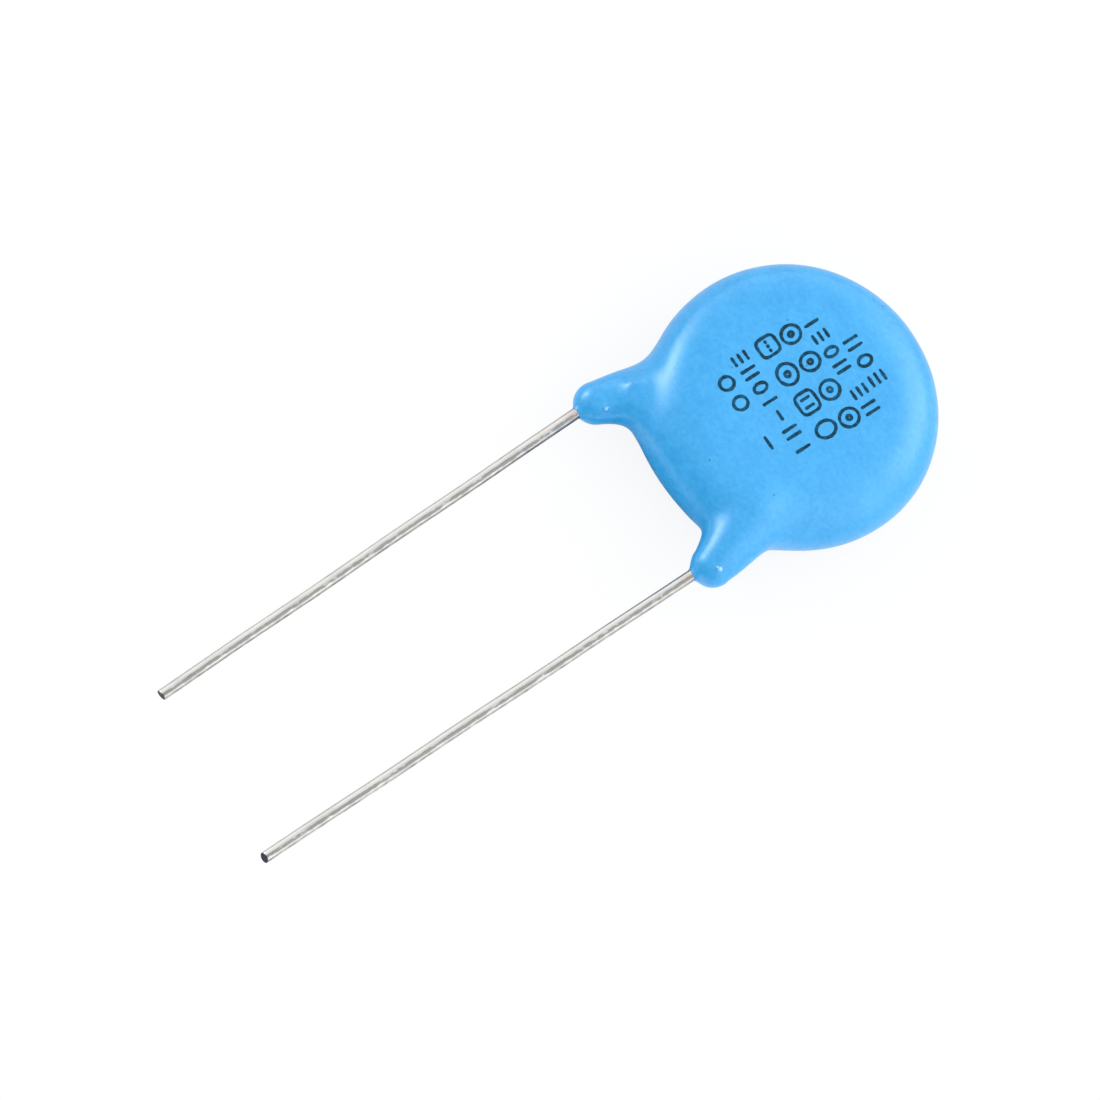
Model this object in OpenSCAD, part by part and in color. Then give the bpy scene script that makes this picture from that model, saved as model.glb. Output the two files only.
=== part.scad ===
// Radial-leaded ceramic disc capacitor with a dipped coating, lying flat on its rear face.
// +Z is up out of the front face, the leads run towards -Y, and X runs from lead to lead.
// The origin is on the face it lies on, midway between the leads and level with the disc's centre.
// All sizes are in millimetres and degrees.

/* [Ceramic disc] */
// Diameter of the bare ceramic disc
ceramic_d = 12; // [11:0.1:13]
// Thickness of the bare ceramic disc
ceramic_t = 2.2; // [1.6:0.1:3]
// How far the disc's centre lies from the line midway between the leads
ceramic_side = 0.8; // [0:0.1:1.2]

/* [Electrodes] */
// Bare ceramic left all round outside each electrode
electrode_margin = 0.5; // [0.2:0.1:1]
// Thickness of each fired silver electrode
electrode_t = 0.03; // [0.02:0.01:0.1]

/* [Leads] */
// Distance between the leads' axes where they leave the coating
lead_pitch = 10; // [9.5:0.1:10.5]
// Diameter of the tinned wire
wire_d = 0.6; // [0.5:0.05:0.7]
// Free length of the rear lead, from its ear to its cut end
rear_free = 26.9; // [5:0.1:40]
// Free length of the front lead, from its ear to its cut end
front_free = 27.5; // [5:0.1:40]
// Angle that each free lead leans towards the other
lead_toe = 0.34; // [0:0.02:1]
// Height of the front lead above the middle plane, and depth of the rear lead below it
lead_rise = 0.4; // [0:0.05:0.6]
// Angle that the rear lead turns inwards as it enters its ear
rear_splay = 20.9; // [16:0.1:24]
// Angle that the front lead turns inwards as it enters its ear
front_splay = 14.8; // [12:0.1:20]
// Radius of each bend, along the wire's axis
bend_r = 1.2; // [1:0.1:1.6]
// How far outside its ear the first bend of each lead begins
bend_out = 0.1; // [0.05:0.05:0.3]
// How far outside the ceramic's edge each lead turns level with its electrode
rim_gap = 0.4; // [0.3:0.05:0.6]
// Length of each lead from there to its inner end
joint_run = 5.6; // [4:0.1:7]

/* [Solder] */
// Thickness of solder between a lead and its electrode
solder_film = 0.05; // [0.03:0.01:0.1]
// Radius of the solder mound, from the wire's axis
solder_r = 0.58; // [0.5:0.02:0.7]
// Solder beyond the inner end of each lead
solder_end = 0.4; // [0.3:0.05:0.6]
// Bare electrode between the electrode's edge and the outer end of the solder
solder_back = 0.4; // [0.2:0.1:1]

/* [Coating] */
// Coating outside the ceramic's edge
coat_rim = 1.42; // [1.2:0.02:2]
// Coating over the ceramic's face, at the middle
coat_face = 1.34; // [1.3:0.02:1.8]
// How much lower each face is at the coating's edge than at its middle
face_dome = 0.1; // [0.06:0.02:0.16]
// Height of the dome that is flat where the coating set on its rear face
rest_cut = 0.02; // [0.01:0.005:0.03]
// How far the edge runs in and out of round in two lobes
lobe2 = 0.09; // [0:0.01:0.15]
// Direction of the first of the two lobes
lobe2_at = 65; // [0:1:180]
// How far the edge runs in and out of round in three lobes
lobe3 = 0.045; // [0:0.005:0.08]
// Direction of the first of the three lobes
lobe3_at = 17; // [0:1:120]
// Width of the blend between the disc, its web and its ears
blend = 1.32; // [1:0.02:1.8]

/* [Ears] */
// From the level of the disc's centre to the tip of the rear ear
rear_reach = 9.34; // [9:0.02:10]
// From the level of the disc's centre to the tip of the front ear
front_reach = 9.73; // [9.2:0.02:10.2]
// Radius of the rear ear at its tip
rear_tip_r = 1.14; // [1:0.02:1.3]
// Radius of the front ear at its tip
front_tip_r = 1.22; // [1:0.02:1.4]
// Radius of the rear ear at its root
rear_root_r = 1.67; // [1.5:0.01:2]
// Radius of the front ear at its root
front_root_r = 1.85; // [1.5:0.01:2]
// From the centre of an ear's tip to the centre of its root
ear_len = 3.74; // [3.4:0.02:4]
// How far the middle of the rear ear's tip lies inside its lead
rear_inset = 0.09; // [-0.2:0.01:0.2]
// How far the middle of the front ear's tip lies inside its lead
front_inset = -0.12; // [-0.2:0.01:0.2]
// Height of the front ear's root above the middle plane, and depth of the rear ear's below it
root_rise = 0.6; // [0.4:0.05:0.8]
// Radius of the web of coating between the ears
web_r = 2.06; // [1.8:0.02:2.3]
// From the level of the disc's centre to the web's middle line
web_back = 5.47; // [5.2:0.01:5.8]
// Length of the web's middle line
web_len = 4; // [3:0.1:5]

/* [Hidden] */
$fn = 48;

REAR = -1;
FRONT = 1;

// How far each bend laps into the straight stretches, and how much thinner it is than the wire
bend_lap = 0.05;
bend_thinner = 0.004;

body_r = ceramic_d / 2 + coat_rim;
half_t = ceramic_t / 2 + coat_face;
mid_z = half_t - rest_cut;

electrode_r = ceramic_d / 2 - electrode_margin;
electrode_z = ceramic_t / 2 + electrode_t;
wire_z = electrode_z + solder_film + wire_d / 2;

function reach(side) = side == FRONT ? front_reach : rear_reach;
function splay(side) = side == FRONT ? front_splay : rear_splay;
function free_length(side) = side == FRONT ? front_free : rear_free;
function tip_r(side) = side == FRONT ? front_tip_r : rear_tip_r;
function root_r(side) = side == FRONT ? front_root_r : rear_root_r;
function inset(side) = side == FRONT ? front_inset : rear_inset;

// ---- The leads' paths, seen from the disc's centre in its middle plane ----

function unit(v) = v / norm(v);
function turn(a, b, c) = acos(min(1, unit(b - a) * unit(c - b)));
function arc_run(a, b, c) = bend_r * tan(turn(a, b, c) / 2);

// Direction of a lead inside its ear, in plan
function inward(side) = [-side * sin(splay(side)), cos(splay(side))];
// Distance along a ray from p, in plan, to the circle of radius r about the disc's centre
function to_circle(p, way, r) =
    let (b = p * way)
    -b - sqrt(b * b - p * p + r * r);

lead_x = lead_pitch / 2;
function at_side(side, x) = side * x - ceramic_side;

// The corner where a lead turns into its ear, short of the place where its bend begins
function entry(side) = [at_side(side, lead_x), -reach(side) - bend_out + entry_run(side), side * lead_rise];
// The bend's own length before that corner, from the turn in plan and the climb together
function entry_run(side) =
    let (rise = wire_z - lead_rise,
         p = [at_side(side, lead_x), -reach(side)],
         way = inward(side),
         run = to_circle(p, way, ceramic_d / 2 + rim_gap),
         start = [-side * sin(lead_toe), cos(lead_toe), 0],
         climb = [way.x * run, way.y * run, side * rise])
    bend_r * tan(acos(start * unit(climb)) / 2);

function lead_path(side) =
    let (b = entry(side),
         way = inward(side),
         run = to_circle([b.x, b.y], way, ceramic_d / 2 + rim_gap),
         flat_way = [way.x, way.y, 0],
         outward = [-side * sin(lead_toe), -cos(lead_toe), 0],
         start = b + outward * (entry_run(side) + free_length(side) - bend_out),
         c = [b.x + way.x * run, b.y + way.y * run, side * wire_z])
    [start, b, c, c + flat_way * joint_run];

// Stands what is drawn along +Z on point a, pointing at point b, with its +X to one side
module along(a, b) {
    v = b - a;
    translate(a)
        rotate([0, acos(v.z / norm(v)), atan2(v.y, v.x)])
            rotate([0, 0, 90])
                children();
}

module rod(a, b, r) {
    along(a, b)
        cylinder(h = norm(b - a), r = r);
}

// A rod with a half ball at each end, past a and b
module pill(a, b, r) {
    run = norm(b - a);
    along(a, b)
        rotate_extrude()
            intersection() {
                union() {
                    circle(r = r);
                    square([r, run]);
                    translate([0, run]) circle(r = r);
                }
                translate([0, -r]) square([r, run + 2 * r]);
            }
}

// The bend at corner b of the path a, b, c. It laps into the straight stretch at each end, and is
// thinner than the wire by less than shows, so that the surfaces cross and the pieces join as one.
module bend(a, b, c, r) {
    u = unit(b - a);
    v = unit(c - b);
    n = unit(v - u * (u * v));
    w = cross(u, n);
    o = b - u * arc_run(a, b, c) + n * bend_r;
    lap = bend_lap / bend_r * 180 / PI;
    multmatrix([[-n.x, u.x, w.x, o.x],
                [-n.y, u.y, w.y, o.y],
                [-n.z, u.z, w.z, o.z]])
        rotate([0, 0, -lap])
            rotate_extrude(angle = turn(a, b, c) + 2 * lap)
                translate([bend_r, 0])
                    circle(r = r - bend_thinner);
}

module wire(path, r) {
    last = len(path) - 1;
    for (i = [0 : last - 1]) {
        u = unit(path[i + 1] - path[i]);
        from = i == 0 ? path[i] : path[i] + u * arc_run(path[i - 1], path[i], path[i + 1]);
        to = i == last - 1 ? path[last]
            : path[i + 1] - u * arc_run(path[i], path[i + 1], path[i + 2]);
        rod(from, to, r);
        if (i < last - 1)
            bend(path[i], path[i + 1], path[i + 2], r);
    }
}

// ---- The coating's skin: a disc, a web and two ears, blended into one another ----

function blended(a, b, k) =
    let (h = max(k - abs(a - b), 0) / k)
    min(a, b) - h * h * h * k / 6;

// Distance from p to a tapered rod with round ends
function taper(p, a, b, ra, rb) =
    let (ab = b - a,
         t = min(max((p - a) * ab / (ab * ab), 0), 1))
    norm(p - a - ab * t) - ra - (rb - ra) * t;

function disc_skin(p) =
    let (around = atan2(p.y, p.x),
         out = norm([p.x, p.y]),
         rim = out - lobe2 * cos(2 * (around - lobe2_at)) - lobe3 * cos(3 * (around - lobe3_at)),
         up = abs(p.z) + face_dome * pow(out / body_r, 2),
         q = [rim - (body_r - half_t), up])
    q.x > 0 ? norm(q) - half_t : up - half_t;

function web_skin(p) =
    let (a = [-web_len / 2 - ceramic_side, -web_back, 0],
         b = [web_len / 2 - ceramic_side, -web_back, 0])
    taper(p, a, b, web_r, web_r);

function ear_tip(side) =
    [at_side(side, lead_x - inset(side)), tip_r(side) - reach(side), side * lead_rise];
function ear_root(side) =
    let (way = inward(side), tip = ear_tip(side))
    [tip.x + way.x * ear_len, tip.y + way.y * ear_len, side * root_rise];

EARS = [for (side = [REAR, FRONT]) [ear_root(side), ear_tip(side), root_r(side), tip_r(side)]];
function ear_skin(p, ear) = taper(p, ear[0], ear[1], ear[2], ear[3]);

function skin(p) =
    blended(
        blended(blended(disc_skin(p), web_skin(p), blend), ear_skin(p, EARS[0]), blend),
        ear_skin(p, EARS[1]), blend);

// A point inside the coating, away from the ears, from which all of its skin can be seen
lookout_share = 0.62;
lookout = [0, lookout_share * body_r, 0];
skin_steps = 19;
skin_far = 2 * max(front_reach, rear_reach);

// How far from the lookout the skin lies along way, found by halving
function skin_run(way, near, far, steps) =
    let (mid = (near + far) / 2)
    steps == 0 ? mid
        : skin(lookout + way * mid) < 0 ? skin_run(way, mid, far, steps - 1)
        : skin_run(way, near, mid, steps - 1);
function skin_point(way) = lookout + way * skin_run(way, half_t / 2, skin_far, skin_steps);

// Longitudes about the lookout, closer together the narrower the part of the skin they cross
function heading(p) = atan2(p.y - lookout.y, p.x - lookout.x) + 360;
rear_at = heading(ear_tip(REAR));
front_at = heading(ear_tip(FRONT));
ear_margin = 8.4;
root_margin = 19.5;
ear_step = 0.56;
root_step = 1.4;
rest_step = 5.5;
function longitudes(from, to, step) =
    let (n = ceil((to - from) / step))
    [for (i = [0 : n - 1]) from + (to - from) * i / n];
AROUND = concat(
    longitudes(rear_at - root_margin, rear_at - ear_margin, root_step),
    longitudes(rear_at - ear_margin, rear_at + ear_margin, ear_step),
    longitudes(rear_at + ear_margin, front_at - ear_margin, root_step),
    longitudes(front_at - ear_margin, front_at + ear_margin, ear_step),
    longitudes(front_at + ear_margin, front_at + root_margin, root_step),
    longitudes(front_at + root_margin, rear_at - root_margin + 360, rest_step));

// Tilts of the rays at one longitude, aimed at points spread over a plain round-edged disc:
// across its upper face, round its edge and back across its lower face. They are closest
// together about the middle plane, where the ears are.
edge_steps = 20;
edge_bunch = 1.6;
face_steps = 5;
face_bunch = 0.7;
function disc_run(around) =
    let (side = lookout.x * sin(around) - lookout.y * cos(around))
    sqrt(body_r * body_r - side * side) - lookout.x * cos(around) - lookout.y * sin(around);
function tilts(around) =
    let (reach = disc_run(around), flat = max(reach - half_t, reach / 3),
         face = [for (i = [1 : face_steps - 1])
             atan2(half_t, flat * pow(i / face_steps, face_bunch))],
         edge = [for (i = [0 : edge_steps])
             let (u = 1 - 2 * i / edge_steps, t = 90 * sign(u) * pow(abs(u), edge_bunch))
             atan2(half_t * sin(t), flat + (reach - flat) * cos(t))])
    concat(face, edge, [for (i = [face_steps - 2 : -1 : 0]) -face[i]]);

// The skin's points at one longitude, from top to bottom
function meridian(around) =
    [for (tilt = tilts(around))
        skin_point([cos(tilt) * cos(around), cos(tilt) * sin(around), sin(tilt)])];

module skin_solid() {
    n = len(AROUND);
    rings = edge_steps + 2 * face_steps - 1;
    points = concat([for (around = AROUND) each meridian(around)],
                    [skin_point([0, 0, 1]), skin_point([0, 0, -1])]);
    top = n * rings;
    // Each four-sided patch is split along its shorter diagonal
    sides = [for (i = [0 : n - 1], j = [0 : rings - 2])
        let (a = i * rings + j, b = (i + 1) % n * rings + j)
        each norm(points[a] - points[b + 1]) < norm(points[b] - points[a + 1])
            ? [[a, b, b + 1], [a, b + 1, a + 1]]
            : [[a, b, a + 1], [b, b + 1, a + 1]]];
    caps = [for (i = [0 : n - 1])
        let (k = (i + 1) % n)
        each [[top, k * rings, i * rings],
              [top + 1, i * rings + rings - 1, k * rings + rings - 1]]];
    polyhedron(points = points, faces = concat(sides, caps), convexity = 6);
}

// ---- Pieces, drawn about the disc's centre ----

// Side FRONT is the upper face and side REAR the lower one
module electrode(side) {
    z = side == FRONT ? ceramic_t / 2 : -electrode_z;
    translate([0, 0, z])
        cylinder(h = electrode_t, r = electrode_r);
}

module solder_mound(side) {
    path = lead_path(side);
    way = unit(path[3] - path[2]);
    edge = to_circle([path[2].x, path[2].y], [way.x, way.y], electrode_r);
    outer = path[2] + way * (edge + solder_back + solder_r);
    inner = path[3] + way * (solder_end - solder_r);
    difference() {
        pill(outer, inner, solder_r);
        mirror([0, 0, side == FRONT ? 1 : 0])
            translate([-ceramic_d / 2, -ceramic_d / 2, -electrode_z])
                cube([ceramic_d, ceramic_d, electrode_z]);
    }
}

module place() {
    translate([ceramic_side, 0, mid_z]) children();
}

// ---- Nodes ----

module coating() {
    color("#52b4f4")
        place()
            difference() {
                skin_solid();
                translate([-body_r, -body_r, -half_t - ceramic_t])
                    cube([2 * body_r, 2 * body_r, ceramic_t + rest_cut]);
                translate([0, 0, -ceramic_t / 2])
                    cylinder(h = ceramic_t, d = ceramic_d);
                for (side = [REAR, FRONT]) {
                    electrode(side);
                    solder_mound(side);
                    wire(lead_path(side), wire_d / 2);
                }
            }
}

module ceramic_disc() {
    color("#d9c7a6")
        place()
            translate([0, 0, -ceramic_t / 2])
                cylinder(h = ceramic_t, d = ceramic_d);
}

module electrode_front() {
    color("#d8d8d4") place() electrode(FRONT);
}

module electrode_rear() {
    color("#d8d8d4") place() electrode(REAR);
}

module solder(side) {
    place()
        difference() {
            solder_mound(side);
            wire(lead_path(side), wire_d / 2);
        }
}

module solder_front() {
    color("#a9acb0") solder(FRONT);
}

module solder_rear() {
    color("#a9acb0") solder(REAR);
}

module lead_front() {
    color("#c9c6c0") place() wire(lead_path(FRONT), wire_d / 2);
}

module lead_rear() {
    color("#c9c6c0") place() wire(lead_path(REAR), wire_d / 2);
}

coating();
ceramic_disc();
electrode_front();
electrode_rear();
solder_front();
solder_rear();
lead_front();
lead_rear();
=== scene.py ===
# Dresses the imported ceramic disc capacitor: its dipped coating, its tinned leads, a plain
# marking on its face, the parts inside the coating, and a white studio round it.
import math
import bmesh
import bpy
import numpy as np
from mathutils import Matrix, Vector


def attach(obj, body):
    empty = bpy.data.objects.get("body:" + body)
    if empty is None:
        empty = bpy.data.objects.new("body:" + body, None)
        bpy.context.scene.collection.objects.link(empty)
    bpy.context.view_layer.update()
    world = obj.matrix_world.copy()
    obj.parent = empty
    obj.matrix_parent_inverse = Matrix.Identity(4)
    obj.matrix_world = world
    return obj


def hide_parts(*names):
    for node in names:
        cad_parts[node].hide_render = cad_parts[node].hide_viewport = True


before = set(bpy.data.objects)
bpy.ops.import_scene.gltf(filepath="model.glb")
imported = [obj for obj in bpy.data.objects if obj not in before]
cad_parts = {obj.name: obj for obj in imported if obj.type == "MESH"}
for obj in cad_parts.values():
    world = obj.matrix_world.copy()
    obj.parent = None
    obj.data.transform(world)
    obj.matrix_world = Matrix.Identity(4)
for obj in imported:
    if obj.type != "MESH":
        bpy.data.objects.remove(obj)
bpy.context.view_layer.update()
mm = 0.001
print("frame loaded:", ", ".join(sorted(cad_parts)))

# The shape of the part, in millimetres and degrees, as the CAD has it. Side 1 is the front lead's.
shape = {
    "discRadius": 6.0,  # of the bare ceramic
    "discSide": 0.8,  # from the middle of the leads to the disc's centre
    "middleHeight": 2.42,
    "bodyRadius": 7.42,
    "halfThickness": 2.44,
    "restCut": 0.02,
    "lobes": ((2, 0.09, 65), (3, 0.045, 17)),  # count, height and direction of each set
    "leadX": 5.0,
    "wireRadius": 0.3,
    "wireDepth": 1.48,  # from the middle plane to a wire soldered on its electrode
    "leadRise": 0.4,
    "leadToe": 0.34,
    "bendRadius": 1.2,
    "bendOut": 0.1,
    "rimGap": 0.4,
    "jointRun": 5.6,
    -1: {"reach": 9.34, "splay": 20.9, "free": 26.9},
    1: {"reach": 9.73, "splay": 14.8, "free": 27.5},
}
discCentre = np.array([shape["discSide"], 0.0, shape["middleHeight"]])


def unit(v):
    return v / np.linalg.norm(v)


# ---- Shader nodes ----

class Value:
    # an output of a node that can stand in a sum
    def __init__(self, finish, socket):
        self.finish = finish
        self.socket = socket

    def maths(self, operation, left, right):
        return self.finish.node("Math", {"operation": operation}, {0: left, 1: right})

    def __add__(self, other):
        return self.maths("ADD", self, other)

    def __radd__(self, other):
        return self.maths("ADD", other, self)

    def __sub__(self, other):
        return self.maths("SUBTRACT", self, other)

    def __rsub__(self, other):
        return self.maths("SUBTRACT", other, self)

    def __mul__(self, other):
        return self.maths("MULTIPLY", self, other)

    def __rmul__(self, other):
        return self.maths("MULTIPLY", other, self)


class Finish:
    # the node tree of a material or a world
    def __init__(self, owner):
        owner.use_nodes = True
        self.owner = owner
        self.tree = owner.node_tree
        self.tree.nodes.clear()

    def node(self, kind, settings=None, sockets=None, out=0):
        made = self.tree.nodes.new("ShaderNode" + kind)
        for name, value in (settings or {}).items():
            setattr(made, name, value)
        for name, value in (sockets or {}).items():
            if isinstance(value, Value):
                self.tree.links.new(value.socket, made.inputs[name])
            else:
                made.inputs[name].default_value = value
        return Value(self, made.outputs[out]) if len(made.outputs) else made

    def mix(self, factor, first, second):
        return self.node("Mix", {"data_type": "RGBA"}, {0: factor, 6: first, 7: second}, 2)

    def ramp(self, value, low, high, start=0.0, end=1.0):
        # start where value is low or less, end where it is high or more, smooth between
        limits = {"From Min": low, "From Max": high, "To Min": start, "To Max": end}
        return self.node("MapRange", {"interpolation_type": "SMOOTHSTEP"}, {"Value": value, **limits})

    def distance(self, where, point):
        return self.node("VectorMath", {"operation": "DISTANCE"}, {0: where, 1: tuple(point)}, "Value")

    def places(self, stretch=(1, 1, 1)):
        # where a point lies on the part, in millimetres
        here = self.node("TexCoord", out="Object")
        scale = tuple(s / mm for s in stretch)
        return self.node("VectorMath", {"operation": "MULTIPLY"}, {0: here, 1: scale})

    def noise(self, where, scale, detail=2.0, roughness=0.5):
        amounts = {"Scale": scale, "Detail": detail, "Roughness": roughness}
        return self.node("TexNoise", None, {"Vector": where, **amounts})

    def bumps(self, height, size, under=None):
        # height goes from 0 to 1, size is its depth in millimetres
        sockets = {"Strength": 1.0, "Distance": size * mm, "Height": height}
        if under:
            sockets["Normal"] = under
        return self.node("Bump", None, sockets)

    def close(self, surface):
        kind = "OutputWorld" if isinstance(self.owner, bpy.types.World) else "OutputMaterial"
        self.node(kind, None, {"Surface": surface})
        return self.owner


def newFinish(name):
    return Finish(bpy.data.materials.new(name))


def addPiece(name, points, faces, material):
    # points are in millimetres
    mesh = bpy.data.meshes.new(name)
    mesh.from_pydata([tuple(p) for p in np.asarray(points) * mm], [], faces)
    mesh.validate()
    mesh.materials.append(material)
    piece = bpy.data.objects.new(name, mesh)
    bpy.context.scene.collection.objects.link(piece)
    return piece


def applyModifiers(piece):
    graph = bpy.context.evaluated_depsgraph_get()
    mesh = bpy.data.meshes.new_from_object(piece.evaluated_get(graph))
    piece.modifiers.clear()
    piece.data = mesh


def smoothPiece(piece, angle):
    piece.data.shade_smooth()
    piece.data.set_sharp_from_angle(angle=math.radians(angle))


# ---- The leads' centre lines, in millimetres from the disc's centre ----

def sideX(side, x):
    return side * x - shape["discSide"]


def inward(side, splay):
    splay = math.radians(splay)
    return np.array([-side * math.sin(splay), math.cos(splay)])


def toCircle(p, way, radius):
    b = p @ way
    return -b - math.sqrt(b * b - p @ p + radius * radius)


def leadCorners(side):
    # from the cut end to the inner end
    sizes = shape[side]
    way = inward(side, sizes["splay"])
    toe = math.radians(shape["leadToe"])
    edge = shape["discRadius"] + shape["rimGap"]
    mouth = np.array([sideX(side, shape["leadX"]), -sizes["reach"]])
    run = toCircle(mouth, way, edge)
    climb = unit(np.array([*(way * run), side * (shape["wireDepth"] - shape["leadRise"])]))
    start = np.array([-side * math.sin(toe), math.cos(toe), 0])
    entryRun = shape["bendRadius"] * math.tan(math.acos(start @ climb) / 2)
    entry = np.array([mouth[0], mouth[1] - shape["bendOut"] + entryRun, side * shape["leadRise"]])
    outward = np.array([-side * math.sin(toe), -math.cos(toe), 0])
    cut = entry + outward * (entryRun + sizes["free"] - shape["bendOut"])
    run = toCircle(entry[:2], way, edge)
    level = np.array([*(entry[:2] + way * run), side * shape["wireDepth"]])
    return [cut, entry, level, level + np.array([*way, 0]) * shape["jointRun"]]


def leadLine(side, step=0.8, turnStep=5):
    # points along the lead with its bends rounded
    corners = leadCorners(side)
    line = [corners[0]]
    for before, corner, after in zip(corners, corners[1:], corners[2:]):
        u = unit(corner - before)
        v = unit(after - corner)
        angle = math.acos(u @ v)
        n = unit(v - u * (u @ v))
        start = corner - u * shape["bendRadius"] * math.tan(angle / 2)
        centre = start + n * shape["bendRadius"]
        count = math.ceil(np.linalg.norm(start - line[-1]) / step)
        line += [line[-1] + (start - line[-1]) * i / count for i in range(1, count + 1)]
        turns = math.ceil(math.degrees(angle) / turnStep)
        for i in range(1, turns + 1):
            a = angle * i / turns
            line.append(centre + shape["bendRadius"] * (u * math.sin(a) - n * math.cos(a)))
    count = math.ceil(np.linalg.norm(corners[-1] - line[-1]) / step)
    line += [line[-1] + (corners[-1] - line[-1]) * i / count for i in range(1, count + 1)]
    return np.array(line)


# ---- The coating's skin, in millimetres from the disc's centre ----

coating = {
    "faceDome": 0.01,
    "shoulder": 1.94,  # over how wide a ring the flat face turns into the rim
    "web": {"radius": 1.064, "back": 6.075, "length": 4.266, "rise": -0.098, "blend": 2.767},
    # the coat's swelling over each lead: a rod from its root by the disc to its tip
    -1: {"reach": 9.23, "tip": 1.038, "tipRise": -0.517, "inset": 0.061, "root": 1.283,
         "rootRise": -1.031, "splay": 15.18, "length": 3.926, "swell": -0.04, "blend": 1.384},
    1: {"reach": 9.666, "tip": 1.109, "tipRise": 0.457, "inset": -0.178, "root": 1.186,
        "rootRise": 0.972, "splay": 12.89, "length": 2.855, "swell": 0.154, "blend": 2.527},
    # a hump on the rear swelling: along it from the tip, aside, up, radius and blend
    "hump": (1.943, -0.743, 0.203, 0.822, 2.835),
    "lump": ((-5.378, -6.524, 1.248), 0.133, 0.42),  # middle, height and width
    # small drops set on the two tips: middle, radius and the strength of the highlight painted pale on
    # each
    "drops": (((4.798, -8.754, 1.423), 0.2, 0.9), ((-5.086, -8.228, 0.417), 0.15, 0.6)),
    "paintedGlintWay": (0.30, -0.25, 0.92),  # the way from each drop's middle to the highlight painted on its top
    "dropBlend": 0.1,
    "dropShine": 0.14,  # how much smoother than the rest the drops are
    "dropCuts": 3,  # finer faces round each drop
    "lookout": 0.62,  # share of the body's radius, towards +Y, from where the whole skin is seen
    "voxel": 0.11,  # size of the faces
    "relaxing": 5,  # passes that even the faces out
    "skinSlack": 0.005,  # how far off the skin a point may lie and still be lit as part of it
    "waviness": 0.011,  # how far the skin wanders in and out
    "collarOut": 0.16,  # how far the coating creeps along each wire
    "collarIn": 0.6,
    "collarRadius": 0.42,
    "collarSink": 0.03,  # how far inside the wire's surface it ends
    "collarBlend": 0.45,
    "colour": (0.032, 0.405, 0.85, 1),
    "deepColour": (0.004, 0.322, 0.73, 1),
    "speckColour": (0.02, 0.12, 0.22, 1),
    # the pale colour of the highlight painted on each drop's top
    "paintedGlintColour": (0.5, 0.8, 1.0, 1),
    "ior": 1.7,
    "roughness": 0.27,
    # scale, detail and roughness of each noise
    "mottle": (0.42, 3.0, 0.55),
    "cloud": (1.6, 2.0, 0.5),
    "grain": (3.9, 2.0, 0.65),
    "peel": (1.15, 2.0, 0.4),
    "grainDepth": 0.002,
    "peelDepth": 0.0035,
    "shares": (0.3, 0.2, 0.5),  # of mottle, cloud and grain in the colour
    "speckScale": 0.62,
    "speckSize": (0.028, 0.048),
    "speckStrength": 0.75,
}


def blended(a, b, width):
    h = np.maximum(width - np.abs(a - b), 0) / width
    return np.minimum(a, b) - h ** 3 * width / 6


def taper(points, a, b, ra, rb, swell=0.0):
    # distance to a tapered rod with round ends, fuller by swell at its middle
    ab = b - a
    t = np.clip((points - a) @ ab / (ab @ ab), 0, 1)
    radius = ra + (rb - ra) * t + 4 * swell * t * (1 - t)
    return np.linalg.norm(points - a - t[:, None] * ab, axis=1) - radius


def discSkin(points):
    around = np.degrees(np.arctan2(points[:, 1], points[:, 0]))
    out = np.hypot(points[:, 0], points[:, 1])
    rim = out - sum(h * np.cos(np.radians(n * (around - at))) for n, h, at in shape["lobes"])
    up = np.abs(points[:, 2]) + coating["faceDome"] * (out / shape["bodyRadius"]) ** 2
    over = rim - (shape["bodyRadius"] - shape["halfThickness"])
    turn = coating["shoulder"]
    eased = np.where(over > turn, over, np.maximum(over + turn, 0) ** 2 / (4 * turn))
    return np.hypot(eased, up) - shape["halfThickness"]


def earSkin(points, side):
    sizes = coating[side]
    way = inward(side, sizes["splay"])
    tip = np.array([sideX(side, shape["leadX"] - sizes["inset"]), sizes["tip"] - sizes["reach"],
                    sizes["tipRise"]])
    root = np.array([*(tip[:2] + way * sizes["length"]), sizes["rootRise"]])
    found = taper(points, root, tip, sizes["root"], sizes["tip"], sizes["swell"])
    if side < 0:
        along, aside, rise, radius, blend = coating["hump"]
        middle = [*(tip[:2] + way * along + np.array([-way[1], way[0]]) * aside), rise]
        found = blended(found, np.linalg.norm(points - middle, axis=1) - radius, blend)
    return found


def collarRod(side):
    x = sideX(side, shape["leadX"])
    reach = coating[side]["reach"]
    inner = np.array([x, coating["collarIn"] - reach, side * shape["leadRise"]])
    outer = np.array([x, -reach - coating["collarOut"], side * shape["leadRise"]])
    return inner, outer, coating["collarRadius"], shape["wireRadius"] - coating["collarSink"]


def waves(points):
    x, y, z = points.T
    slow = np.sin(0.9 * x + 0.5 * y + 1.1) * np.sin(0.55 * x - 1.05 * y + 0.4 + 0.6 * z)
    quick = np.sin(1.9 * x - 0.8 * y + 2.0 + 1.1 * z) * np.sin(0.9 * x + 1.7 * y + 0.9)
    return coating["waviness"] * (0.7 * slow + 0.3 * quick)


def skin(points):
    web = coating["web"]
    ends = [np.array([s * web["length"] / 2 - shape["discSide"], -web["back"], web["rise"]])
            for s in (-1, 1)]
    found = blended(discSkin(points), taper(points, *ends, web["radius"], web["radius"]), web["blend"])
    for side in (-1, 1):
        found = blended(found, earSkin(points, side), coating[side]["blend"])
    for side in (-1, 1):
        found = blended(found, taper(points, *collarRod(side)), coating["collarBlend"])
    middle, height, width = coating["lump"]
    found = found - height * np.exp(-np.sum((points - middle) ** 2, axis=1) / width ** 2)
    for middle, radius, _ in coating["drops"]:
        drop = np.linalg.norm(points - middle, axis=1) - radius
        found = blended(found, drop, coating["dropBlend"])
    return found - waves(points)


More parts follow.
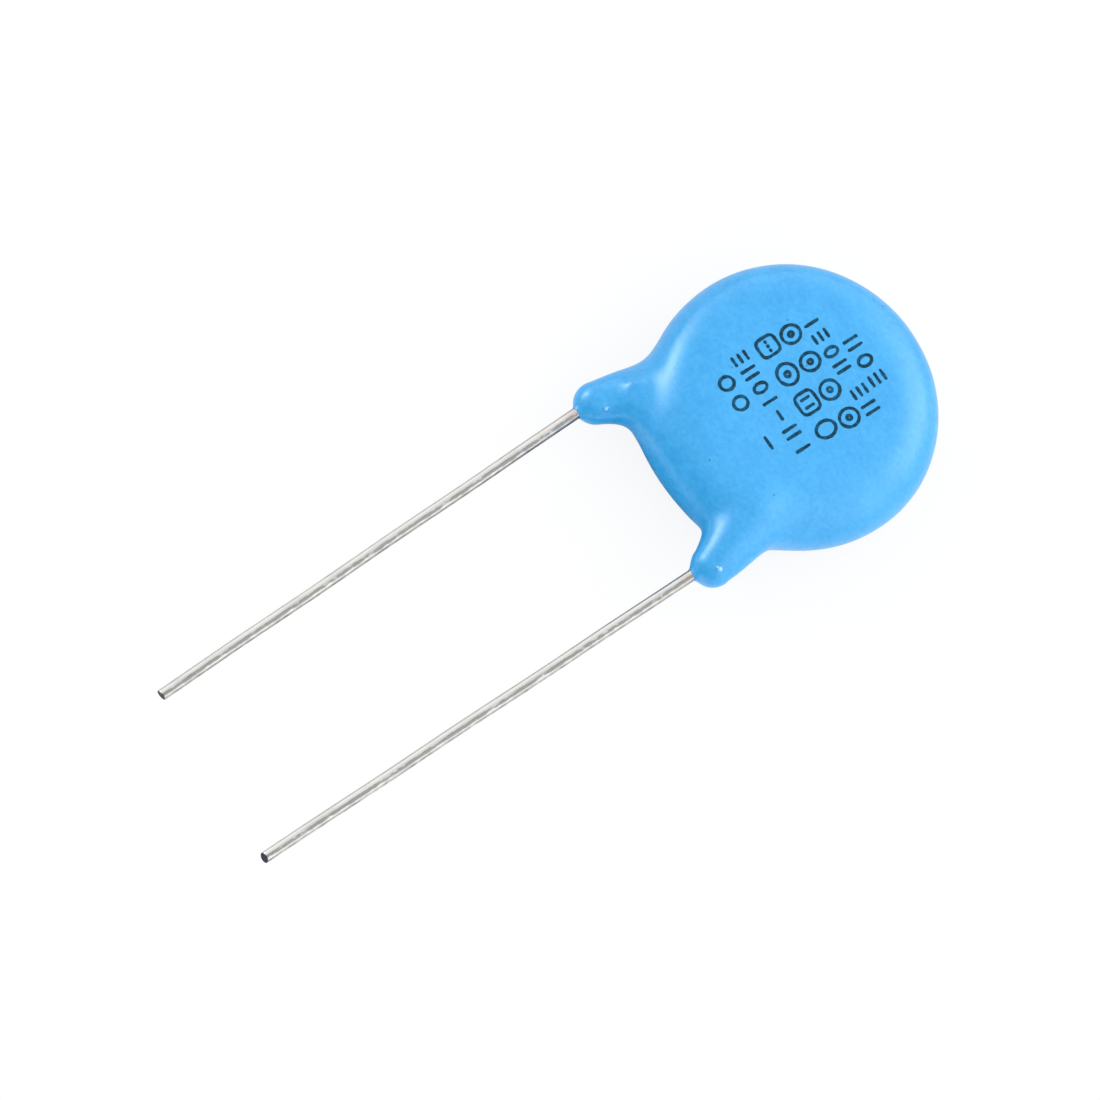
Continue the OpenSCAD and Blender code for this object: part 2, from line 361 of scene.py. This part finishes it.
def slope(points):
    # the skin's gradient
    near = 0.002
    steps = np.eye(3) * near
    return np.stack([(skin(points + s) - skin(points - s)) / (2 * near) for s in steps], axis=1)


def ontoSkin(points, passes=4):
    for _ in range(passes):
        away = slope(points)
        points = points - away * (skin(points) / np.sum(away ** 2, axis=1))[:, None]
    return points


def roughSkin():
    # an icosphere's directions from a point that sees the whole skin, each run out to the skin
    ball = bmesh.new()
    bmesh.ops.create_icosphere(ball, subdivisions=7, radius=1)
    ways = np.array([v.co for v in ball.verts])
    faces = [[v.index for v in f.verts] for f in ball.faces]
    ball.free()
    lookout = np.array([0, coating["lookout"] * shape["bodyRadius"], 0])
    near = np.full(len(ways), shape["halfThickness"] / 2)  # certainly inside the skin
    far = np.full(len(ways), 20.0)  # certainly outside it
    for _ in range(26):
        middle = (near + far) / 2
        inside = skin(lookout + ways * middle[:, None]) < 0
        near = np.where(inside, middle, near)
        far = np.where(inside, far, middle)
    return lookout + ways * near[:, None], faces


def evenOut(points, edges, passes):
    count = np.bincount(edges.ravel(), minlength=len(points))[:, None]
    for _ in range(passes):
        total = np.zeros_like(points)
        np.add.at(total, edges[:, 0], points[edges[:, 1]])
        np.add.at(total, edges[:, 1], points[edges[:, 0]])
        points = ontoSkin(0.5 * points + 0.5 * total / count, 2)
    return points


def refineNear(mesh, drops, cuts):
    # smaller faces round the drops
    fine = bmesh.new()
    fine.from_mesh(mesh)
    near = []
    for edge in fine.edges:
        middle = (edge.verts[0].co + edge.verts[1].co) / 2 / mm - Vector(discCentre)
        if any((middle - Vector(drop)).length < 2 * radius for drop, radius, _ in drops):
            near.append(edge)
    bmesh.ops.subdivide_edges(fine, edges=near, cuts=cuts, use_grid_fill=True)
    fine.to_mesh(mesh)
    fine.free()


def pointsOf(mesh):
    # from the disc's centre, in millimetres
    points = np.zeros(len(mesh.vertices) * 3)
    mesh.vertices.foreach_get("co", points)
    return points.reshape(-1, 3) / mm - discCentre


def placePoints(mesh, points):
    mesh.vertices.foreach_set("co", ((points + discCentre) * mm).ravel())
    mesh.update()


def setNormals(mesh):
    # the skin's own slope lights it without a trace of the faces
    points = pointsOf(mesh)
    normals = np.zeros(len(points) * 3)
    mesh.vertices.foreach_get("normal", normals)
    normals = normals.reshape(-1, 3)
    away = slope(points)
    away /= np.linalg.norm(away, axis=1)[:, None]
    onSkin = np.abs(skin(points)) < coating["skinSlack"]
    onIt = onSkin & (np.sum(away * normals, axis=1) > 0.7)  # not at the edge of a cut
    normals[onIt] = away[onIt]
    mesh.normals_split_custom_set_from_vertices(normals.tolist())


def coatingFinish():
    f = newFinish("dippedBlue")
    where = f.places()
    mottle = f.noise(where, *coating["mottle"])
    cloud = f.noise(where, *coating["cloud"])
    grain = f.noise(where, *coating["grain"])
    ofMottle, ofCloud, ofGrain = coating["shares"]
    depth = f.ramp(mottle * ofMottle + cloud * ofCloud + grain * ofGrain, 0.3, 0.7)
    paint = f.mix(depth, coating["deepColour"], coating["colour"])
    speck = f.node("TexVoronoi", {"feature": "F1"}, {"Vector": where, "Scale": coating["speckScale"]})
    pit = f.ramp(speck, *coating["speckSize"], coating["speckStrength"], 0.0)
    paint = f.mix(pit, paint, coating["speckColour"])
    peel = f.noise(where, *coating["peel"])
    normal = f.bumps(grain, coating["grainDepth"], f.bumps(peel, coating["peelDepth"]))
    rough = coating["roughness"] - 0.03 + 0.06 * mottle + 0.1 * pit
    for middle, radius, paintedGlintShare in coating["drops"]:
        away = f.distance(where, discCentre + middle)
        rough = rough - f.ramp(away, 1.05 * radius, 1.5 * radius, coating["dropShine"], 0.0)
        # a highlight painted on each drop: round a point near its top, the colour is mixed towards a
        # pale colour
        top = discCentre + middle + radius * np.array(coating["paintedGlintWay"])
        paintedGlint = f.ramp(f.distance(where, top), 0.0, 0.95 * radius, paintedGlintShare, 0.0)
        paint = f.mix(paintedGlint, paint, coating["paintedGlintColour"])
    surface = f.node("BsdfPrincipled", None, {
        "Base Color": paint, "Roughness": rough, "IOR": coating["ior"], "Normal": normal,
    })
    return f.close(surface)


def makeCoating(wires):
    # hollowed for the two leads alone: the other pieces inside lie in its material
    points, faces = roughSkin()
    piece = addPiece("dippedCoating", points + discCentre, faces, coatingFinish())
    remesh = piece.modifiers.new("evenFaces", "REMESH")
    remesh.mode = "VOXEL"
    remesh.voxel_size = coating["voxel"] * mm
    applyModifiers(piece)
    mesh = piece.data
    edges = np.zeros(len(mesh.edges) * 2, int)
    mesh.edges.foreach_get("vertices", edges)
    placePoints(mesh, evenOut(pointsOf(mesh), edges.reshape(-1, 2), coating["relaxing"]))
    refineNear(mesh, coating["drops"], coating["dropCuts"])
    points = ontoSkin(pointsOf(mesh))
    points[:, 2] = np.maximum(points[:, 2], shape["restCut"] - shape["halfThickness"])
    placePoints(mesh, points)
    for wire in wires:
        cut = piece.modifiers.new("channel", "BOOLEAN")
        cut.operation = "DIFFERENCE"
        cut.solver = "MANIFOLD"
        cut.object = wire
        applyModifiers(piece)
    smoothPiece(piece, 50)
    setNormals(piece.data)
    return piece


# ---- The tinned leads ----

leads = {
    "sides": 48,
    "wander": 0.012,  # how far the free wire strays from straight
    "cutTilt": 7,  # degrees that the cut face leans
    # the edge rolled over at the cut: distance from it and share of the wire's radius
    "rolledEdge": ((0.0, 0.905), (0.012, 0.955), (0.03, 0.985), (0.06, 1.0)),
    "dish": (0.55, 0.006, 0.02),  # its share of the radius, the depth of its edge and of its middle
    # dark reflection lines painted along the wire, broken up like drawing-die lines: degrees round
    # from the right, half width in degrees, depth
    "paintedReflectionLines": ((74, 18, 1.0), (22, 30, 0.45), (-20, 30, 0.1), (230, 30, 0.8), (150, 24, 0.25)),
    "colour": (0.67, 0.665, 0.645, 1),
    "dullColour": (0.56, 0.555, 0.535, 1),
    # colour of the dark reflection lines painted along the wire
    "paintedReflectionColour": (0.2, 0.2, 0.193, 1),
    "cutColour": (0.035, 0.024, 0.065, 1),
    "stainColour": (0.36, 0.20, 0.10, 1),
    "stainShare": 0.2,
    "stainRun": 0.22,  # how far from the coating it reaches
    "roughness": 0.2,
    # scale, detail and roughness of each noise
    "drawn": (7.0, 3.0, 0.6),
    "patches": (1.4, 3.0, 0.55),
    "breaks": (5.0, 2.0, 0.5),
    "drawnDepth": 0.0016,
    "patchDepth": 0.004,
}


def leadFinish():
    f = newFinish("tinnedWire")
    along = f.places((1, 0.06, 1))
    drawn = f.noise(along, *leads["drawn"])
    patches = f.noise(f.places((1, 0.5, 1)), *leads["patches"])
    dull = f.ramp(0.5 * drawn + 0.5 * patches, 0.42, 0.72)
    tin = f.mix(dull, leads["colour"], leads["dullColour"])
    breaks = f.noise(f.places((1, 0.42, 1)), *leads["breaks"])
    # dark reflection lines painted along the wire at fixed angles round it, broken up by noise like
    # drawing-die lines
    paintedReflectionLine = f.node("Attribute", {"attribute_name": "paintedReflectionLine"}, out="Fac")
    line = f.ramp(paintedReflectionLine * (2.4 * breaks - 0.05), 0.1, 0.9)
    tin = f.mix(line, tin, leads["paintedReflectionColour"])
    stain = f.node("Attribute", {"attribute_name": "stain"}, out="Fac")
    tin = f.mix(stain * leads["stainShare"], tin, leads["stainColour"])
    cut = f.node("Attribute", {"attribute_name": "cutEnd"}, out="Fac")
    colour = f.mix(cut, tin, leads["cutColour"])
    rough = leads["roughness"] + 0.1 * dull + 0.12 * line + 0.3 * cut
    normal = f.bumps(patches, leads["patchDepth"], f.bumps(drawn, leads["drawnDepth"]))
    surface = f.node("BsdfPrincipled", None, {
        "Base Color": colour, "Metallic": 1.0 - 0.3 * cut, "Roughness": rough, "Normal": normal,
    })
    return f.close(surface)


def makeLead(side, name, material):
    line = leadLine(side)
    mouth = -shape[side]["reach"]
    cutY = line[0, 1]
    # the free wire wanders a little, and not at all where it enters the coating
    freeness = np.clip((mouth - 1.0 - line[:, 1]) / 6, 0, 1)
    line[:, 0] += leads["wander"] * freeness * np.sin(0.62 * line[:, 1] + side)
    line[:, 2] += leads["wander"] * freeness * np.sin(0.47 * line[:, 1] + 2 * side)
    ways = np.gradient(line, axis=0)
    ways /= np.linalg.norm(ways, axis=1)[:, None]
    # each ring: its centre, its way, its share of the radius and how far back from the cut it is
    rings = [(line[0] + ways[0] * back, ways[0], share, back) for back, share in leads["rolledEdge"]]
    rings += [(p, w, 1.0, 1.0) for p, w in zip(line[1:], ways[1:])]
    radius = shape["wireRadius"]
    sides = leads["sides"]
    angles = np.arange(sides) * 2 * math.pi / sides
    tilt = math.tan(math.radians(leads["cutTilt"]))
    points = []
    cutEnd = []
    paintedReflectionLine = []
    # how strongly the painted dark reflection lines lie at each angle round the wire
    ringReflectionLines = [max(depth * math.exp(-(((math.degrees(a) - at + 180) % 360 - 180) / half) ** 2)
                     for at, half, depth in leads["paintedReflectionLines"]) for a in angles]
    for centre, way, share, back in rings:
        across = unit(np.cross(way, (0, 0, 1)))
        up = np.cross(across, way)
        lean = tilt * max(0, 1 - back / 0.5) if back < 0.5 else 0
        for a in angles:
            out = (across * math.cos(a) + up * math.sin(a)) * radius * share
            points.append(centre + out + way * lean * radius * side * math.sin(a - 0.6))
            cutEnd.append(1.0 if back < 0.005 else 0.0)
        paintedReflectionLine += ringReflectionLines
    count = len(rings)
    faces = [[i * sides + j, i * sides + (j + 1) % sides, (i + 1) * sides + (j + 1) % sides,
              (i + 1) * sides + j] for i in range(count - 1) for j in range(sides)]
    # the cut face is dished, the inner end is flat
    dish = len(points)
    dishShare, dishEdge, dishDepth = leads["dish"]
    cutMiddle, cutWay = rings[0][:2]
    for j, a in enumerate(angles):
        p = cutMiddle + (points[j] - cutMiddle) * dishShare
        points.append(p + cutWay * dishEdge * (1 + math.sin(3 * a + side)))
        cutEnd.append(1.0)
    points.append(cutMiddle + cutWay * dishDepth)
    cutEnd.append(1.0)
    faces += [[(j + 1) % sides, j, dish + j, dish + (j + 1) % sides] for j in range(sides)]
    faces += [[dish + (j + 1) % sides, dish + j, dish + sides] for j in range(sides)]
    faces.append([(count - 1) * sides + j for j in range(sides)])
    points = np.array(points)
    piece = addPiece(name, points + discCentre, faces, material)
    faceCheck = bmesh.new()
    faceCheck.from_mesh(piece.data)
    bmesh.ops.recalc_face_normals(faceCheck, faces=faceCheck.faces)
    faceCheck.to_mesh(piece.data)
    faceCheck.free()
    paintedReflectionLine += [0.0] * (len(points) - len(paintedReflectionLine))
    piece.data.attributes.new("cutEnd", "FLOAT", "POINT").data.foreach_set("value", cutEnd)
    piece.data.attributes.new("paintedReflectionLine", "FLOAT", "POINT").data.foreach_set("value", paintedReflectionLine)
    near = np.clip(1 - (mouth - coating["collarOut"] - points[:, 1]) / leads["stainRun"], 0, 1)
    upper = np.clip(0.5 + (points[:, 2] - side * shape["leadRise"]) / 0.6, 0, 1)
    stain = near * upper * (points[:, 1] > cutY + 1)
    piece.data.attributes.new("stain", "FLOAT", "POINT").data.foreach_set("value", stain)
    smoothPiece(piece, 40)
    return piece


# ---- The marking: rings, bars and dots that stand for print, with no letters or numbers ----

marking = {
    "centre": (-0.34, 0.32),  # from the disc's centre
    "turn": -1.0,  # degrees from the line between the leads
    "stroke": 0.17,
    "proud": 0.007,
    "sunk": 0.03,
    "colour": (0.003, 0.03, 0.055, 1),
    "thinColour": (0.008, 0.11, 0.22, 1),
    "ior": 1.25,
    "roughness": 0.6,
    # each row: height of its middle, height of its marks, then kind, middle and width of each
    "rows": (
        (3.40, 0.92, (("bars", -0.47, 0.62), ("ring", 0.60, 0.70), ("rungs", 1.66, 0.66))),
        (2.20, 0.90, (("post", -2.42, 0.2), ("rungs", -1.62, 0.58), ("ring", -0.68, 0.62),
                      ("bars", 0.22, 0.56), ("rungs", 1.74, 0.60), ("bars", 2.72, 0.60))),
        (0.96, 1.22, (("eye", -2.51, 1.10), ("eye", -0.84, 1.10), ("eye", 0.87, 1.16),
                      ("eye", 2.56, 1.12))),
        (-0.42, 1.26, (("pips", -2.62, 1.16), ("eye", -0.92, 1.30), ("cell", 0.80, 1.30),
                       ("ring", 2.42, 1.02))),
        (-2.02, 0.92, (("rungs", -2.86, 0.58), ("bars", -1.98, 0.58), ("ring", -1.08, 0.64),
                       ("post", -0.26, 0.2), ("dash", 0.60, 0.62), ("bars", 1.62, 0.58),
                       ("post", 2.62, 0.2))),
        (-3.37, 0.94, (("ring", -2.17, 0.86), ("ring", -0.97, 0.86), ("dash", 1.45, 0.80))),
    ),
}


def oval(x, y, w, h, square=2.0, count=40):
    # a closed line round a box, an ellipse where square is 2 and squarer above it
    a = np.arange(count) * 2 * math.pi / count
    c = np.cos(a)
    s = np.sin(a)
    px = x + w / 2 * np.sign(c) * np.abs(c) ** (2 / square)
    py = y + h / 2 * np.sign(s) * np.abs(s) ** (2 / square)
    return np.stack([px, py], axis=1), True


def bar(x0, y0, x1, y1):
    count = max(2, math.ceil(math.hypot(x1 - x0, y1 - y0) / 0.15))
    t = np.linspace(0, 1, count + 1)
    return np.stack([x0 + (x1 - x0) * t, y0 + (y1 - y0) * t], axis=1), False


def markStrokes(kind, x, y, w, h):
    pen = marking["stroke"]
    w = w - pen
    h = h - pen
    if kind == "ring":
        return [oval(x, y, w, h)]
    if kind == "eye":
        return [oval(x, y, w, h), oval(x, y, 0.24 * w, 0.24 * h, 2, 16)]
    if kind == "bars":
        return [bar(x + s * w / 2, y - h / 2, x + s * w / 2, y + h / 2) for s in (-1, 1)]
    if kind == "post":
        return [bar(x, y - h / 2, x, y + h / 2)]
    if kind == "rungs":
        return [bar(x - w / 2, y + s * h / 2, x + w / 2, y + s * h / 2) for s in (-1, 0, 1)]
    if kind == "dash":
        return [bar(x - w / 2, y, x + w / 2, y)]
    box = oval(x, y, w, h, 4.0, 56)
    if kind == "pips":
        return [box] + [bar(x + s * w / 4 - 0.02, y, x + s * w / 4 + 0.02, y) for s in (-1, 0, 1)]
    return [box] + [bar(x + s * w / 5, y - h / 5, x + s * w / 5, y + h / 5) for s in (-1, 1)]


def inkRibbon(line, closed, order):
    # left and right edges of a stroke of ink, with round ends where it is open
    pen = marking["stroke"] / 2
    if closed:
        ways = np.roll(line, -1, axis=0) - np.roll(line, 1, axis=0)
        halves = np.full(len(line), pen)
    else:
        way = unit(line[-1] - line[0])
        turns = np.radians([80, 60, 40, 20])
        head = [line[0] - way * pen * math.sin(t) for t in turns]
        tail = [line[-1] + way * pen * math.sin(t) for t in turns[::-1]]
        halves = np.array([pen * math.cos(t) for t in turns] + [pen] * len(line)
                          + [pen * math.cos(t) for t in turns[::-1]])
        line = np.array([*head, *line, *tail])
        ways = np.tile(way, (len(line), 1))
    ways = ways / np.linalg.norm(ways, axis=1)[:, None]
    aside = np.stack([-ways[:, 1], ways[:, 0]], axis=1)
    ragged = halves * (1 + 0.1 * np.sin(9 * line[:, 0] + 5 * line[:, 1] + order)
                       + 0.08 * np.sin(17 * line[:, 0] - 23 * line[:, 1] + 2 * order))
    return line + aside * ragged[:, None], line - aside * ragged[:, None]


def faceHeight(flat):
    # height of the upper skin over points in plan
    points = np.column_stack([flat, np.full(len(flat), shape["halfThickness"])])
    for _ in range(4):
        points[:, 2] -= skin(points)
    return points[:, 2]


def inkFinish():
    f = newFinish("markingInk")
    where = f.places()
    thin = f.ramp(0.6 * f.noise(where, 6.0, 2.0) + 0.4 * f.noise(where, 1.3, 2.0), 0.4, 0.66)
    colour = f.mix(thin * 0.85, marking["colour"], marking["thinColour"])
    surface = f.node("BsdfPrincipled", None, {
        "Base Color": colour, "Roughness": marking["roughness"] + 0.15 * thin, "IOR": marking["ior"],
        "Normal": f.bumps(thin, 0.002),
    })
    return f.close(surface)


def makeMarking():
    turn = math.radians(marking["turn"])
    across = np.array([math.cos(turn), math.sin(turn)])
    up = np.array([-math.sin(turn), math.cos(turn)])
    points = []
    faces = []
    strokes = [stroke for y, h, marks in marking["rows"] for kind, x, w in marks
               for stroke in markStrokes(kind, x, y, w, h)]
    for order, (line, closed) in enumerate(strokes):
        edges = inkRibbon(line, closed, order)
        layers = []
        for edge in edges:
            plan = np.array(marking["centre"]) + edge[:, :1] * across + edge[:, 1:] * up
            top = faceHeight(plan)
            layers.append(np.column_stack([plan, top + marking["proud"]]))
            layers.append(np.column_stack([plan, top - marking["sunk"]]))
        leftTop, leftLow, rightTop, rightLow = layers
        first = len(points)
        for section in zip(leftTop, rightTop, rightLow, leftLow):
            points.extend(section)
        count = len(leftTop)
        for i in range(count if closed else count - 1):
            a = first + 4 * i
            b = first + 4 * ((i + 1) % count)
            faces += [[a + k, a + (k + 1) % 4, b + (k + 1) % 4, b + k] for k in range(4)]
        if not closed:
            last = first + 4 * (count - 1)
            faces.append([first + 3, first + 2, first + 1, first])
            faces.append([last, last + 1, last + 2, last + 3])
    piece = addPiece("faceMarking", np.array(points) + discCentre, faces, inkFinish())
    smoothPiece(piece, 35)
    return piece


# ---- The parts inside the coating, kept from the CAD ----

inside = {
    # colour, darker colour, scale of the noise, metallic, roughness and depth of the grain
    "firedCeramic": ((0.60, 0.47, 0.31, 1), (0.47, 0.35, 0.22, 1), 6, 0, 0.8, 0.008),
    "firedSilver": ((0.74, 0.73, 0.70, 1), (0.52, 0.51, 0.48, 1), 9, 1, 0.5, 0.003),
    "meltedSolder": ((0.52, 0.53, 0.55, 1), (0.33, 0.34, 0.36, 1), 3, 1, 0.38, 0.01),
}


def insideFinish(name):
    light, dark, scale, metallic, roughness, depth = inside[name]
    f = newFinish(name)
    where = f.places()
    coarse = f.noise(where, scale * 0.2, 3.0)
    fine = f.noise(where, scale, 3.0, 0.65)
    mask = f.ramp(0.4 * coarse + 0.6 * fine, 0.36, 0.64)
    surface = f.node("BsdfPrincipled", None, {
        "Base Color": f.mix(mask, dark, light), "Metallic": metallic,
        "Roughness": roughness - 0.1 * mask, "Normal": f.bumps(fine, depth),
    })
    return f.close(surface)


def dressInside():
    ceramic = insideFinish("firedCeramic")
    silver = insideFinish("firedSilver")
    solder = insideFinish("meltedSolder")
    wanted = {"ceramic_disc": ceramic, "electrode_front": silver, "electrode_rear": silver,
              "solder_front": solder, "solder_rear": solder}
    for name, material in wanted.items():
        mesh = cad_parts[name].data
        mesh.materials.clear()
        mesh.materials.append(material)


# ---- Camera and studio ----

shot = {
    "azimuth": 13.62,
    "elevation": 66.93,
    "roll": -41.43,
    "width": 54.55,  # millimetres across the picture
    "aimRight": -11.955,  # from the disc's centre to the middle of the picture
    "aimUp": -7.024,
    "distance": 400.0,
}


def makeCamera():
    az, el, roll = (math.radians(shot[k]) for k in ("azimuth", "elevation", "roll"))
    back = Vector((math.sin(az) * math.cos(el), -math.cos(az) * math.cos(el), math.sin(el)))
    level = Vector((math.cos(az), math.sin(az), 0))
    steep = back.cross(level)
    right = level * math.cos(roll) - steep * math.sin(roll)
    up = level * math.sin(roll) + steep * math.cos(roll)
    data = bpy.data.cameras.new("camera")
    data.type = "ORTHO"
    data.ortho_scale = shot["width"] * mm
    data.clip_start = 0.001
    camera = bpy.data.objects.new("camera", data)
    bpy.context.scene.collection.objects.link(camera)
    aim = Vector(discCentre) + right * shot["aimRight"] + up * shot["aimUp"]
    where = (aim + back * shot["distance"]) * mm
    camera.matrix_world = Matrix.Translation(where) @ Matrix((right, up, back)).transposed().to_4x4()
    bpy.context.scene.camera = camera


# Directions are degrees round from -Y towards +X, and degrees up.
studio = {
    "lamps": (
        # name, round, up, distance in metres, width, height, radiance
        ("leftBox", -80, 20, 0.40, 0.24, 0.22, 1.9),
        ("backWindow", 158, 34, 0.40, 0.46, 0.38, 1.1),
    ),
    # what falls on matt surfaces from all round: its level, how it falls off with height, and
    # where it is weaker and stronger: round, up, cosine of the outer and inner edge, share
    "softLight": 0.95,
    "softHeight": (1.2, 0.4),
    "softFront": (5, 0, 0.4, 1.0, 0.45),
    "softSide": (60, 5, 0.1, 0.9, 0.65),
    # what polished surfaces see: a plain glow, with its dimmest direction, level and fall, which
    # starts from a share at the horizon and is whole at a height, and brighter glows in it
    "plainGlow": (-5, 76, 1.54, 0.59),
    "horizon": (0.85, 0.35),
    "glows": (
        # name, round, up, cosine of the outer and inner edge, strength
        ("leftBox", -72, 17, 0.853, 0.999, 2.3),
        ("leftCore", -72, 17, 0.975, 0.9995, 3.8),
        ("backWindow", 161, 34, 0.87, 0.998, 1.6),
        ("rightWall", 125, 51, 0.74, 0.98, 0.6),
    ),
    "dimFront": (20, -2, 0.24, 0.92, 0.76),
    "floorSize": 0.7,
    "floorDrop": 0.01,  # millimetres below the part's resting face
    "floorColour": (0.95, 0.95, 0.95, 1),
    "floorWhite": 0.87,  # how much of the floor's white is its own to the camera
    # its glow to polished surfaces: from here to there across, and the levels at the two
    "floorGlow": (-20, 20, 0.7, 0.95),
    # how that glow is painted brighter beside the leads and darker near the body and between the
    # leads, as the part's painted shadow: the stretch across, the middle, the inner and outer radius,
    # and how much is added or taken
    "floorPatches": ((1.6, (0, -24), 14, 22, 0.45), (1.9, (0, -8), 3, 10, -0.9),
                     (3.6, (0, -24), 11, 16, -0.35)),
    "floorDim": (-46, -39, 0.86),  # how much of it is lost in front of the disc, and from where
}


def direction(around, up):
    a = math.radians(around)
    e = math.radians(up)
    return Vector((math.sin(a) * math.cos(e), -math.cos(a) * math.cos(e), math.sin(e)))


def makeLamps():
    centre = Vector(discCentre) * mm
    for name, around, up, distance, width, height, radiance in studio["lamps"]:
        data = bpy.data.lights.new(name, "AREA")
        data.shape = "RECTANGLE"
        data.size = width
        data.size_y = height
        data.energy = radiance * math.pi * width * height
        lamp = bpy.data.objects.new(name, data)
        bpy.context.scene.collection.objects.link(lamp)
        way = direction(around, up)
        lamp.location = centre + way * distance
        lamp.rotation_mode = "QUATERNION"
        lamp.rotation_quaternion = way.to_track_quat("Z", "Y")
        lamp.visible_camera = False
        lamp.visible_glossy = False  # the world's glows stand for it in polished surfaces


def makeWorld():
    world = bpy.data.worlds.new("studio")
    f = Finish(world)
    way = f.node("TexCoord", out="Generated")

    def towards(around, up):
        aim = tuple(direction(around, up))
        return f.node("VectorMath", {"operation": "DOT_PRODUCT"}, {0: way, 1: aim}, "Value")

    def cone(around, up, outer, inner, strength):
        return f.ramp(towards(around, up), outer, inner, 0.0, strength)

    around, up, level, fall = studio["plainGlow"]
    glow = level - fall * towards(around, up)
    for name, *sizes in studio["glows"]:
        glow = glow + cone(*sizes)
    height = f.node("SeparateXYZ", None, {0: way}, "Z")
    share, whole = studio["horizon"]
    glow = glow * f.ramp(height, 0.0, whole, share, 1.0) * (1 - cone(*studio["dimFront"]))
    top, slant = studio["softHeight"]
    soft = studio["softLight"] * (top - slant * height)
    soft = soft * (1 + cone(*studio["softSide"])) * (1 - cone(*studio["softFront"]))
    rays = {kind: f.node("LightPath", out=kind) for kind in
            ("Is Camera Ray", "Is Glossy Ray", "Is Transmission Ray")}
    polished = f.node("Math", {"operation": "MAXIMUM"},
                      {0: rays["Is Glossy Ray"], 1: rays["Is Transmission Ray"]})
    light = glow * polished + soft * (1 - polished)
    seen = rays["Is Camera Ray"]
    surface = f.node("Background", None, {
        "Color": (1, 1, 1, 1), "Strength": seen + light * (1 - seen),
    })
    f.close(surface)
    bpy.context.scene.world = world


def makeFloor():
    f = newFinish("paleFloor")
    where = f.places()
    seen, glossy, through = (f.node("LightPath", out=kind) for kind in
                             ("Is Camera Ray", "Is Glossy Ray", "Is Transmission Ray"))
    start, end, left, right = studio["floorGlow"]
    glow = f.ramp(f.node("SeparateXYZ", None, {0: where}), start, end, left, right)
    # the floor's glow is painted brighter beside the leads and darker near the body and between them,
    # as a painted shadow
    for across, middle, inner, outer, gain in studio["floorPatches"]:
        away = f.distance(f.places((across, 1, 1)), (across * middle[0], middle[1], 0))
        glow = glow * (1 + f.ramp(away, inner, outer, gain, 0.0))
    ahead = f.node("SeparateXYZ", None, {0: where}, "Y")
    far, near, loss = studio["floorDim"]
    glow = glow * (1 - f.ramp(ahead, far, near, loss, 0.0))
    shade = f.mix(glossy, (1, 1, 1, 1), f.node("CombineColor", None, {0: glow, 1: glow, 2: glow}))
    matt = f.node("BsdfDiffuse", None, {"Color": studio["floorColour"]})
    shine = f.node("Emission", None, {"Color": shade, "Strength": 1.0})
    factor = studio["floorWhite"] * (seen + through) + glossy
    surface = f.node("MixShader", None, {"Fac": factor, 1: matt, 2: shine})
    material = f.close(surface)
    size = studio["floorSize"] / 2 / mm
    low = -studio["floorDrop"]
    corners = [(-size, -size, low), (size, -size, low), (size, size, low), (-size, size, low)]
    floor = addPiece("paleFloor", corners, [[0, 1, 2, 3]], material)


# ---- Putting it together ----

makeCamera()
print("camera ready")
makeFloor()
makeLamps()
makeWorld()
bpy.context.scene.view_settings.view_transform = "Standard"
print("studio ready")
dressInside()
print("inside dressed")
tin = leadFinish()
rearLead = makeLead(-1, "leadWireRear", tin)
frontLead = makeLead(1, "leadWireFront", tin)
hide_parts("lead_rear")
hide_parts("lead_front")
print("leads drawn")
blueCoat = makeCoating([rearLead, frontLead])
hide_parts("coating")
print("coating dipped:", len(blueCoat.data.polygons), "faces")
ink = makeMarking()
print("marking printed")
for piece, slotName in ((rearLead, "lead_tin"), (frontLead, "lead_tin"), (blueCoat, "coating_blue"),
                        (ink, "coating_blue")):
    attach(piece, "root")
